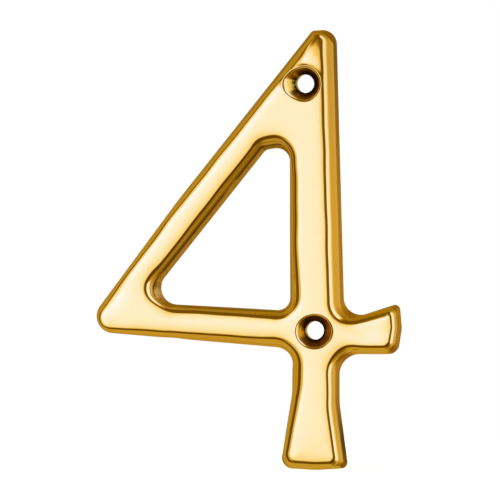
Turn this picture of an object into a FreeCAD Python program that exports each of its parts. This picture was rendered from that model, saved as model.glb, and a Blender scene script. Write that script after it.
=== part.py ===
import FreeCAD, Part
import math
import os
import Sketcher

# A door numeral 4 in solid brass, one piece, held to the door by two countersunk screws.
# It stands upright as on the door: X to the right, Z up, and the face looks along -Y.
# The origin is on the axis of the lower screw hole, where stem and bar cross, in the plane of the back.
# Lengths are in millimetres and angles in degrees.

SIZES = {
    # Depths, from the back to the face
    "thickness": 5.0,
    "land_depth": 1.4,
    "land_inset": 0.35,
    "edge_rounding": 0.8,
    # Right side of the stem, leaning in towards the top
    "stem_lean_angle": 1.56,
    "stem_reach": 4.93,
    "stem_bevel": 1.74,
    "apex_right_radius": 2.5,
    "apex_right_face_radius": 1.05,
    # Short flat across the top of the stem
    "apex_width": 4.245,
    "apex_angle": 4.0,
    "apex_face_width": 1.9,
    "apex_left_radius": 0.8,
    "apex_left_face_radius": 1.0,
    # Long diagonal, slightly steeper in its lower half
    "diagonal_upper_angle": 51.46,
    "diagonal_upper_reach": 32.83,
    "diagonal_steepening_angle": 1.97,
    "diagonal_lower_drop": 0.11,
    "diagonal_bevel": 0.9,
    "diagonal_bow_radius": 90.0,
    # Left tip and underside of the bar
    "tip_radius": 2.95,
    "tip_face_radius": 2.4,
    "bar_slope_angle": 4.83,
    "bar_reach": 3.5,
    "bar_bevel": 1.15,
    "bar_bevel_taper_angle": 1.35,
    # Waist below the crossing
    "waist_left_reach": 4.2,
    "waist_left_fillet": 3.0,
    "waist_left_face_fillet": 4.2,
    "waist_right_reach": 4.05,
    "waist_right_fillet": 3.5,
    "waist_right_face_fillet": 4.2,
    "waist_left_bevel": 0.85,
    "waist_right_bevel": 1.25,
    "waist_curve_radius": 14.0,
    # Foot, flaring out of the waist, with a slightly crowned end
    "foot_length": 24.0,
    "foot_left_flare_angle": 9.2,
    "foot_left_flared_share": 0.5457,
    "foot_left_radius": 1.9,
    "foot_left_face_radius": 2.2,
    "foot_right_flare_angle": 7.7,
    "foot_right_flared_share": 0.4747,
    "foot_right_radius": 1.1,
    "foot_right_face_radius": 2.0,
    "foot_left_bevel": 0.67,
    "foot_right_bevel": 1.25,
    "foot_end_tilt_angle": 3.5,
    "foot_end_crown": 0.1,
    "foot_end_radius": 18.0,
    "foot_end_bevel": 0.5,
    # Short arm to the right of the crossing
    "arm_length": 14.8,
    "arm_under_reach": 4.12,
    "arm_under_bevel": 0.6,
    "arm_end_lower_angle": 8.3,
    "arm_end_lower_setback": 0.16,
    "arm_end_upper_angle": 5.0,
    "arm_end_upper_crown": 0.04,
    "arm_end_bevel": 0.8,
    "arm_end_radius": 3.0,
    "arm_lower_radius": 2.0,
    "arm_lower_face_radius": 2.0,
    "arm_upper_radius": 0.95,
    "arm_upper_face_radius": 1.2,
    "arm_top_angle": 18.0,
    "arm_top_reach": 4.6,
    "arm_top_bevel": 0.5,
    "arm_to_stem_fillet": 2.97,
    "arm_to_stem_face_fillet": 3.2,
    # Opening between stem, diagonal and bar, with a short flat at its top
    "diagonal_width": 6.58,
    "opening_land_inset": 0.65,
    "opening_stem_reach": 4.6,
    "opening_stem_bevel": 0.74,
    "opening_stem_radius": 2.3,
    "opening_top_angle": 9.0,
    "opening_top_width": 4.29,
    "opening_top_radius": 1.2,
    "opening_top_bevel": 0.9,
    "opening_diagonal_bevel": 1.25,
    "opening_tip_radius": 2.9,
    "opening_bar_angle": 3.05,
    "opening_bar_reach": 3.16,
    "opening_bar_inset": 0.5,
    "opening_bar_bevel": 0.6,
    "opening_crossing_radius": 2.1,
    # Screw holes
    "hole_across": 3.2,
    "countersink_across": 6.5,
    "countersink_angle": 90.0,
    "upper_hole_to_stem_side": 5.46,
    "upper_hole_to_diagonal_side": 4.966,
}

BACK, LAND, FACE = "Back", "Land", "Face"

# Directions in the plane of the face, counter-clockwise from the right
RIGHT, UP, LEFT, DOWN = 0.0, 90.0, 180.0, 270.0


class Size:
    """A length or angle from the sheet: the expression that gives it, and its present value."""

    def __init__(self, text, value):
        self.text = text
        self.value = value

    def __add__(self, other):
        return Size(f"({self.text} + {other.text})", self.value + other.value)

    def __sub__(self, other):
        return Size(f"({self.text} - {other.text})", self.value - other.value)

    def __mul__(self, other):
        return Size(f"({self.text} * {other.text})", self.value * other.value)

    def __truediv__(self, other):
        return Size(f"({self.text} / {other.text})", self.value / other.value)


def fixed(number):
    return Size(str(number), number)


def size(alias):
    return Size(f"Sizes.{alias}", SIZES[alias])


def sine(angle):
    return Size(f"sin({angle.text})", math.sin(math.radians(angle.value)))


def cosine(angle):
    return Size(f"cos({angle.text})", math.cos(math.radians(angle.value)))


class Side:
    """A straight side of an outline: its direction, its distance from a datum and the corner after it.

    An outline runs counter-clockwise as seen from the face. The datum is inside a side with facing 1,
    and outside a side with facing -1.
    """

    def __init__(self, direction, reach, radius, datum="crossing", facing=1):
        self.direction = direction
        self.reach = reach
        self.radius = radius
        self.datum = datum
        self.facing = facing

    def along(self):
        angle = math.radians(self.direction.value)
        return FreeCAD.Vector(math.cos(angle), math.sin(angle), 0)

    def outward(self):
        along = self.along()
        return FreeCAD.Vector(along.y, -along.x, 0)

    def offset(self):
        return self.facing * self.reach.value + self.outward().dot(datum_place(self.datum))


def datum_place(name):
    """Centre of the crossing, middle of the foot's end, or end of the arm."""
    places = {
        "crossing": FreeCAD.Vector(0, 0, 0),
        "foot": FreeCAD.Vector(0, -SIZES["foot_length"], 0),
        "arm": FreeCAD.Vector(SIZES["arm_length"], 0, 0),
    }
    return places[name]


def meeting(first, second):
    """Point where two sides would meet if their corner were sharp."""
    a = first.outward()
    b = second.outward()
    across = a.x * b.y - a.y * b.x
    x = (first.offset() * b.y - second.offset() * a.y) / across
    y = (a.x * second.offset() - b.x * first.offset()) / across
    return FreeCAD.Vector(x, y, 0)


def make_sheet(document):
    sheet = document.addObject("Spreadsheet::Sheet", "Sizes")
    for row, (alias, value) in enumerate(SIZES.items(), start=1):
        sheet.set(f"A{row}", alias)
        sheet.set(f"B{row}", str(value))
        sheet.setAlias(f"B{row}", alias)
    document.recompute()


def face_sketch(body, name, height):
    """Sketch parallel to the back and at a height in front of it."""
    sketch = body.newObject("Sketcher::SketchObject", name)
    plane = next(item for item in body.Origin.OriginFeatures if item.Role == "XZ_Plane")
    sketch.AttachmentSupport = [(plane, "")]
    sketch.MapMode = "FlatFace"
    sketch.setExpression(".AttachmentOffset.Base.z", height.text)
    return sketch


def constrain(sketch, dimensions, relations=()):
    """Adds all constraints at once, then names each dimension and binds it to the sheet."""
    start = len(sketch.Constraints) + len(relations)
    sketch.addConstraint(list(relations) + [constraint for _, constraint, _ in dimensions])
    for index, (name, _, value) in enumerate(dimensions, start=start):
        sketch.renameConstraint(index, name)
        sketch.setExpression(f"Constraints.{name}", value.text)


def corner_arc(side, after):
    """Tangent arc between two sides: its start, its end, the arc, and 1 where it turns left or -1 right."""
    turn = (after.direction.value - side.direction.value + 180) % 360 - 180
    hand = 1 if turn > 0 else -1
    setback = side.radius.value * math.tan(math.radians(abs(turn)) / 2)
    point = meeting(side, after)
    start = point - side.along() * setback
    end = point + after.along() * setback
    centre = start - side.outward() * (hand * side.radius.value)
    circle = Part.Circle(centre, FreeCAD.Vector(0, 0, 1), side.radius.value)
    ends = (start, end) if hand > 0 else (end, start)
    arc = Part.ArcOfCircle(circle, *(circle.parameter(place) for place in ends))
    return start, end, arc, hand


def draw_outline(sketch, sides):
    """Closed loop of straight sides with a tangent arc at every corner."""
    names = list(sides)
    sides = list(sides.values())
    count = len(sides)
    corners = [corner_arc(side, sides[(i + 1) % count]) for i, side in enumerate(sides)]
    lines = [Part.LineSegment(corners[i - 1][1], corners[i][0]) for i in range(count)]
    sketch.addGeometry(lines + [arc for _, _, arc, _ in corners])

    relations = []
    dimensions = []
    datums = {"crossing": -1}
    if any(side.datum != "crossing" for side in sides):
        datums["foot"], datums["arm"] = sketch.addGeometry(
            [Part.Point(datum_place("foot")), Part.Point(datum_place("arm"))], True
        )
        foot, arm = datums["foot"], datums["arm"]
        relations.append(Sketcher.Constraint("PointOnObject", foot, 1, -2))
        relations.append(Sketcher.Constraint("PointOnObject", arm, 1, -1))
        foot_drop = Sketcher.Constraint("DistanceY", foot, 1, -1, 1, SIZES["foot_length"])
        arm_run = Sketcher.Constraint("DistanceX", -1, 1, arm, 1, SIZES["arm_length"])
        dimensions.append(("foot_datum", foot_drop, size("foot_length")))
        dimensions.append(("arm_datum", arm_run, size("arm_length")))

    for i, side in enumerate(sides):
        arc = count + i
        near, far = (1, 2) if corners[i][3] > 0 else (2, 1)
        relations.append(Sketcher.Constraint("Tangent", i, 2, arc, near))
        relations.append(Sketcher.Constraint("Tangent", arc, far, (i + 1) % count, 1))
        direction = Sketcher.Constraint("Angle", i, math.radians(side.direction.value))
        reach = Sketcher.Constraint("Distance", datums[side.datum], 1, i, side.reach.value)
        radius = Sketcher.Constraint("Radius", arc, side.radius.value)
        dimensions.append((f"{names[i]}_direction", direction, side.direction))
        dimensions.append((f"{names[i]}_reach", reach, side.reach))
        dimensions.append((f"{names[i]}_radius", radius, side.radius))
    constrain(sketch, dimensions, relations)


def top_reach(stem_reach, stem_lean, diagonal_reach, slope, width):
    """Reach of a short top side, placed where its width just spans from a stem side to a diagonal one."""
    diagonal = size("diagonal_upper_angle")
    between = sine(diagonal - slope)
    shortened = diagonal_reach - width * between
    return (stem_reach * between + shortened * cosine(stem_lean - slope)) / cosine(diagonal - stem_lean)


def foot_reach(side):
    """Reach of a side of the foot from the middle of its end. It leaves the waist where the flare starts."""
    flare = size(f"foot_{side}_flare_angle")
    flared_length = size("foot_length") * size(f"foot_{side}_flared_share")
    return size(f"waist_{side}_reach") * cosine(flare) + flared_length * sine(flare)


def outer_sides(level):
    """Sides of the numeral at one level, each set in by the draft of the land or by its own bevel."""

    def inset(reach, bevel):
        taken = {BACK: fixed(0), LAND: size("land_inset"), FACE: size(bevel)}
        return reach - taken[level]

    def corner(radius, face_radius):
        return size(face_radius if level == FACE else radius)

    stem_lean = size("stem_lean_angle")
    stem_reach = size("stem_reach")
    diagonal_reach = size("diagonal_upper_reach")
    apex_angle = size("apex_angle")
    apex_reach = top_reach(stem_reach, stem_lean, diagonal_reach, apex_angle, size("apex_width"))
    if level == LAND:
        apex_reach = apex_reach - size("land_inset")
    if level == FACE:
        face_stem = stem_reach - size("stem_bevel")
        face_diagonal = diagonal_reach - size("diagonal_bevel")
        apex_reach = top_reach(face_stem, stem_lean, face_diagonal, apex_angle, size("apex_face_width"))
    bar_slope = size("bar_slope_angle")
    if level == FACE:
        bar_slope = bar_slope - size("bar_bevel_taper_angle")
    return {
        "stem": Side(
            fixed(UP) + stem_lean,
            inset(stem_reach, "stem_bevel"),
            corner("apex_right_radius", "apex_right_face_radius"),
        ),
        "apex": Side(
            fixed(LEFT) + apex_angle,
            apex_reach,
            corner("apex_left_radius", "apex_left_face_radius"),
        ),
        "diagonal_upper": Side(
            fixed(LEFT) + size("diagonal_upper_angle"),
            inset(diagonal_reach, "diagonal_bevel"),
            size("diagonal_bow_radius"),
        ),
        "diagonal_lower": Side(
            fixed(LEFT) + size("diagonal_upper_angle") + size("diagonal_steepening_angle"),
            inset(diagonal_reach - size("diagonal_lower_drop"), "diagonal_bevel"),
            corner("tip_radius", "tip_face_radius"),
        ),
        "bar": Side(
            fixed(RIGHT) - bar_slope,
            inset(size("bar_reach"), "bar_bevel"),
            corner("waist_left_fillet", "waist_left_face_fillet"),
        ),
        "waist_left": Side(
            fixed(DOWN),
            inset(size("waist_left_reach"), "waist_left_bevel"),
            size("waist_curve_radius"),
        ),
        "foot_left": Side(
            fixed(DOWN) - size("foot_left_flare_angle"),
            inset(foot_reach("left"), "foot_left_bevel"),
            corner("foot_left_radius", "foot_left_face_radius"),
            datum="foot",
        ),
        "foot_end_left": Side(
            fixed(RIGHT) - size("foot_end_tilt_angle"),
            inset(size("foot_length") + size("foot_end_crown"), "foot_end_bevel"),
            size("foot_end_radius"),
        ),
        "foot_end_right": Side(
            fixed(RIGHT) + size("foot_end_tilt_angle"),
            inset(size("foot_length") + size("foot_end_crown"), "foot_end_bevel"),
            corner("foot_right_radius", "foot_right_face_radius"),
        ),
        "foot_right": Side(
            fixed(UP) + size("foot_right_flare_angle"),
            inset(foot_reach("right"), "foot_right_bevel"),
            size("waist_curve_radius"),
            datum="foot",
        ),
        "waist_right": Side(
            fixed(UP),
            inset(size("waist_right_reach"), "waist_right_bevel"),
            corner("waist_right_fillet", "waist_right_face_fillet"),
        ),
        "arm_under": Side(
            fixed(RIGHT),
            inset(size("arm_under_reach"), "arm_under_bevel"),
            corner("arm_lower_radius", "arm_lower_face_radius"),
        ),
        "arm_end_lower": Side(
            fixed(UP) - size("arm_end_lower_angle"),
            inset(size("arm_length") - size("arm_end_lower_setback"), "arm_end_bevel"),
            size("arm_end_radius"),
        ),
        "arm_end_upper": Side(
            fixed(UP) + size("arm_end_upper_angle"),
            inset(size("arm_length") + size("arm_end_upper_crown"), "arm_end_bevel"),
            corner("arm_upper_radius", "arm_upper_face_radius"),
        ),
        "arm_top": Side(
            fixed(LEFT) + size("arm_top_angle"),
            inset(size("arm_top_reach"), "arm_top_bevel"),
            corner("arm_to_stem_fillet", "arm_to_stem_face_fillet"),
            datum="arm",
        ),
    }


def opening_sides(level):
    """Sides of the opening at one level. They stand further apart towards the face."""
    stem_reach = size("opening_stem_reach")
    diagonal_reach = size("diagonal_upper_reach") - size("diagonal_width")
    top_slope = size("opening_top_angle")
    top_width = size("opening_top_width")
    back_top_reach = top_reach(fixed(0) - stem_reach, fixed(0), diagonal_reach, top_slope, top_width)

    def bevel(side):
        land = "opening_bar_inset" if side == "bar" else "opening_land_inset"
        return {BACK: fixed(0), LAND: size(land), FACE: size(f"opening_{side}_bevel")}[level]

    return {
        "stem": Side(
            fixed(UP),
            stem_reach - bevel("stem"),
            size("opening_stem_radius") + bevel("stem"),
            facing=-1,
        ),
        "top": Side(
            fixed(LEFT) + top_slope,
            back_top_reach + bevel("top"),
            size("opening_top_radius") + bevel("top"),
        ),
        "diagonal": Side(
            fixed(LEFT) + size("diagonal_upper_angle"),
            diagonal_reach + bevel("diagonal"),
            size("opening_tip_radius") + bevel("diagonal"),
        ),
        "bar": Side(
            fixed(RIGHT) - size("opening_bar_angle"),
            size("opening_bar_reach") - bevel("bar"),
            size("opening_crossing_radius") + bevel("bar"),
            facing=-1,
        ),
    }


def make_loft(body, kind, name, sides_at):
    """Drafted land and tapered wall in one loft: back outline, top of the land, face outline."""
    heights = {BACK: fixed(0), LAND: size("land_depth"), FACE: size("thickness")}
    sketches = []
    for level, height in heights.items():
        sketch = face_sketch(body, f"{name}{level}", height)
        draw_outline(sketch, sides_at(level))
        sketches.append(sketch)
    loft = body.newObject(kind, name)
    loft.Profile = sketches[0]
    loft.Sections = sketches[1:]
    loft.Ruled = True
    body.Document.recompute()
    return loft


def round_face_edges(body, shaped):
    """Rounds every edge that bounds the face, outside and round the opening."""
    face_depth = -SIZES["thickness"]
    names = [
        f"Edge{i}"
        for i, edge in enumerate(shaped.Shape.Edges, start=1)
        if all(abs(vertex.Point.y - face_depth) < 1e-4 for vertex in edge.Vertexes)
    ]
    rounding = body.newObject("PartDesign::Fillet", "FaceRounding")
    rounding.Base = (shaped, names)
    rounding.setExpression("Radius", size("edge_rounding").text)
    body.Document.recompute()
    return rounding


def drill_holes(body):
    """Two countersunk holes right through: at the crossing, and set off from stem and diagonal."""
    outer = outer_sides(BACK)
    stem, diagonal = outer["stem"], outer["diagonal_upper"]
    margins = {"stem": size("upper_hole_to_stem_side"), "diagonal": size("upper_hole_to_diagonal_side")}
    apex = meeting(stem, diagonal)
    upper_place = meeting(
        Side(stem.direction, stem.reach - margins["stem"], stem.radius),
        Side(diagonal.direction, diagonal.reach - margins["diagonal"], diagonal.radius),
    )

    sketch = face_sketch(body, "HolePlaces", size("thickness"))
    radius = SIZES["hole_across"] / 2
    axis = FreeCAD.Vector(0, 0, 1)
    crossing = sketch.addGeometry(Part.Circle(FreeCAD.Vector(0, 0, 0), axis, radius))
    upper = sketch.addGeometry(Part.Circle(upper_place, axis, radius))
    stem_guide = sketch.addGeometry(Part.LineSegment(stem.outward() * stem.reach.value, apex), True)
    diagonal_foot = diagonal.outward() * diagonal.reach.value
    diagonal_guide = sketch.addGeometry(Part.LineSegment(apex, diagonal_foot), True)

    relations = [
        Sketcher.Constraint("Coincident", crossing, 3, -1, 1),
        Sketcher.Constraint("Coincident", stem_guide, 2, diagonal_guide, 1),
    ]
    dimensions = []
    for name, circle in (("crossing", crossing), ("upper", upper)):
        across = Sketcher.Constraint("Diameter", circle, SIZES["hole_across"])
        dimensions.append((f"{name}_across", across, size("hole_across")))
    for name, side, guide in (("stem", stem, stem_guide), ("diagonal", diagonal, diagonal_guide)):
        direction = Sketcher.Constraint("Angle", guide, math.radians(side.direction.value))
        reach = Sketcher.Constraint("Distance", -1, 1, guide, side.reach.value)
        margin = Sketcher.Constraint("Distance", upper, 3, guide, margins[name].value)
        dimensions.append((f"{name}_direction", direction, side.direction))
        dimensions.append((f"{name}_reach", reach, side.reach))
        dimensions.append((f"{name}_margin", margin, margins[name]))
    constrain(sketch, dimensions, relations)
    body.Document.recompute()

    hole = body.newObject("PartDesign::Hole", "ScrewHoles")
    hole.Profile = sketch
    hole.ThreadType = "None"
    hole.DepthType = "ThroughAll"
    hole.HoleCutType = "Countersink"
    hole.setExpression("Diameter", size("hole_across").text)
    hole.setExpression("HoleCutDiameter", size("countersink_across").text)
    hole.setExpression("HoleCutCountersinkAngle", size("countersink_angle").text)
    body.Document.recompute()
    return hole


def make_numeral(document):
    body = document.addObject("PartDesign::Body", "Numeral")
    body.Label = "numeral_four"
    walls = make_loft(body, "PartDesign::AdditiveLoft", "Walls", outer_sides)
    opening = make_loft(body, "PartDesign::SubtractiveLoft", "Opening", opening_sides)
    rounding = round_face_edges(body, opening)
    holes = drill_holes(body)
    stages = [walls, opening, rounding, holes]
    for before, after in zip(stages, stages[1:]):
        if not after.Shape.Volume < before.Shape.Volume - 1:
            raise RuntimeError(f"{after.Label} took nothing away")
    return body


def check_document(document, bodies):
    for item in document.Objects:
        if {"Invalid", "Error"} & set(item.State):
            raise RuntimeError(f"{item.Label} failed")
    for body in bodies:
        if body.Shape.isNull() or not body.Shape.isValid():
            raise RuntimeError(f"{body.Label} has no valid shape")


document = FreeCAD.newDocument("DoorNumeral")
make_sheet(document)
numeral = make_numeral(document)
document.recompute()
check_document(document, [numeral])
os.makedirs("parts", exist_ok=True)
numeral.Shape.exportStep(f"parts/{numeral.Label}.step")
print(numeral.Label, "volume", round(numeral.Shape.Volume, 1), "mm3", numeral.Shape.BoundBox)
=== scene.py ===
"""Looks of a door numeral 4 in polished brass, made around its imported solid.

The numeral is one closed surface. Its section runs from the flat back over a drafted land and a
tapered wall to a softly rounded face edge, and is carried round the outside and round the opening.
The face between the two, and the countersunk screw holes in it, are heights over the plane.

Lengths are in millimetres and angles in degrees, unless a name says otherwise. The plane of the
numeral is (x, z), and height is measured from the back towards the face, which looks along -Y.
"""

import logging
import math
from dataclasses import dataclass, field
from enum import Enum

import bpy
import numpy as np
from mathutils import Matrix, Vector
from mathutils.geometry import delaunay_2d_cdt


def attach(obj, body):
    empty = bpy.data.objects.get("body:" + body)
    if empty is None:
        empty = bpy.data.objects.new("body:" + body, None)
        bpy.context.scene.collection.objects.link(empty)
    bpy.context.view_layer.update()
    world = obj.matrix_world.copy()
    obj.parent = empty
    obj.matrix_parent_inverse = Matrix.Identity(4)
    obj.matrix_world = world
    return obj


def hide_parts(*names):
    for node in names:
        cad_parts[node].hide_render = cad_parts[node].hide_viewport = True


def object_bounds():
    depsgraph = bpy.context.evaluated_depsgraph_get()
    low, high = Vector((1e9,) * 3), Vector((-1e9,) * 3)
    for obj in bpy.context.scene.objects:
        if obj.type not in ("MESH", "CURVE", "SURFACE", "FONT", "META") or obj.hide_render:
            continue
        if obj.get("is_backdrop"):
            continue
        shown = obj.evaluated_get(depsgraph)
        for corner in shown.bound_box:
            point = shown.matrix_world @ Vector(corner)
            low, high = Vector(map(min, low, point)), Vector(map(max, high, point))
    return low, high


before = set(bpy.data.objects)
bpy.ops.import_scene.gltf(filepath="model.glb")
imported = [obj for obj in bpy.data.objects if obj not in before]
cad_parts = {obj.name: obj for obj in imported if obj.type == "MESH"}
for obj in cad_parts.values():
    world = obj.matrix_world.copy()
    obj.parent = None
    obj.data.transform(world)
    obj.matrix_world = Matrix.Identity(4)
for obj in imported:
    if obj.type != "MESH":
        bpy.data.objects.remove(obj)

LOG = logging.getLogger("numeral")
METRES = 0.001
RIGHT, UP, LEFT, DOWN = 0.0, 90.0, 180.0, 270.0
FULL_TURN = 2.0 * math.pi
SHARP_ANGLE = 32.0
BATCH = 1500

Point = tuple[float, float]
Colour = tuple[float, float, float]


class Level(Enum):
    """Heights at which an outline is drawn."""

    BACK = "back"
    LAND = "land"
    FACE = "face"


class Edge(Enum):
    """Which way the metal lies from an outline, as the sign of the step from it into the metal."""

    OUTSIDE = -1
    OPENING = 1


def lift(points: np.ndarray, height: float) -> np.ndarray:
    """Adds a height to points of the plane."""
    return np.concatenate([points, np.full((len(points), 1), height)], axis=1)


def bell(values: np.ndarray, width: float) -> np.ndarray:
    """1 at a value of 0, falling off to both sides as exp(-(value / width)^2)."""
    return np.exp(-((values / width) ** 2))


def smooth_lesser(first: np.ndarray, second: np.ndarray, width: float) -> np.ndarray:
    """The lesser of two heights, with their crossing rounded over a width."""
    # Where they differ by less than the width it is their mean weighted by h and 1-h, less
    # width h (1-h), with h going evenly from 0 to 1 over that span.
    h = np.clip(0.5 + 0.5 * (second - first) / width, 0.0, 1.0)
    return second * (1 - h) + first * h - width * h * (1 - h)


def batches(points: np.ndarray) -> list[np.ndarray]:
    """Splits points into parts small enough to be set against a whole loop at once."""
    return np.array_split(points, max(1, len(points) // BATCH))


def segment_distance(points: np.ndarray, loop: np.ndarray) -> np.ndarray:
    """Distance from each point to a closed loop: the least of its distances to the segments.

    Args:
        points: Places in the plane.
        loop: The loop's corners, in order.

    Returns:
        One distance a point.
    """
    start, along = loop, np.roll(loop, -1, axis=0) - loop
    square = np.maximum((along**2).sum(1), 1e-12)
    best = []
    for part in batches(points):
        away = part[:, None] - start[None]
        share = np.clip((away * along).sum(2) / square, 0.0, 1.0)
        gap = away - share[..., None] * along
        best.append(np.sqrt((gap**2).sum(2).min(1)))
    return np.concatenate(best)


def inside(points: np.ndarray, loop: np.ndarray) -> np.ndarray:
    """Whether each point is in a closed loop.

    It is where a ray from it to the right crosses an odd number of the loop's segments.

    Args:
        points: Places in the plane.
        loop: The loop's corners, in order.

    Returns:
        True or False a point.
    """
    a, b = loop, np.roll(loop, -1, axis=0)
    rise = np.where(b[:, 1] == a[:, 1], 1e-12, b[:, 1] - a[:, 1])
    found = []
    for part in batches(points):
        x, z = part[:, 0, None], part[:, 1, None]
        straddles = (a[:, 1] > z) != (b[:, 1] > z)
        crossing = a[:, 0] + (z - a[:, 1]) * (b[:, 0] - a[:, 0]) / rise
        found.append((straddles & (x < crossing)).sum(1) % 2 == 1)
    return np.concatenate(found)


@dataclass(frozen=True)
class Swell:
    """A spot where trimming and polishing took an edge further into the metal, or left more on.

    At a distance from its place the face edge is moved in by depth times
    exp(-(distance / width)^2), and the outline below it by the share low of that. The run over
    which the edge is rounded grows by roll in the same way.
    """

    place: Point
    width: float
    depth: float
    low: float = 0.0
    roll: float = 0.0

    def share(self, points: np.ndarray) -> np.ndarray:
        """How much of the swell each point gets."""
        return np.exp(-((points - np.array(self.place)) ** 2).sum(1) / self.width**2)

    def dent(self, points: np.ndarray, level: Level) -> np.ndarray:
        """How far each point of an outline moves into the metal at a level."""
        return self.share(points) * self.depth * (1.0 if level is Level.FACE else self.low)


@dataclass(frozen=True)
class Side:
    """A straight side of an outline that runs counter-clockwise as seen from the face.

    direction is the way it runs and reach its distance from the datum, which is outside a side
    with facing -1. bevel is how far its face edge is set into the metal, face_turn how far that
    edge is turned from the back edge, and roll the run over which it is rounded. radius and
    face_radius are the corner after it at the back and at the face.
    """

    direction: float
    reach: float
    bevel: float
    roll: float
    radius: float
    face_radius: float
    datum: Point = (0.0, 0.0)
    facing: int = 1
    face_turn: float = 0.0


@dataclass
class Ring:
    """An outline at one level: its points, outward directions and the roll of the edge there."""

    points: np.ndarray
    normals: np.ndarray
    rolls: np.ndarray


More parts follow.
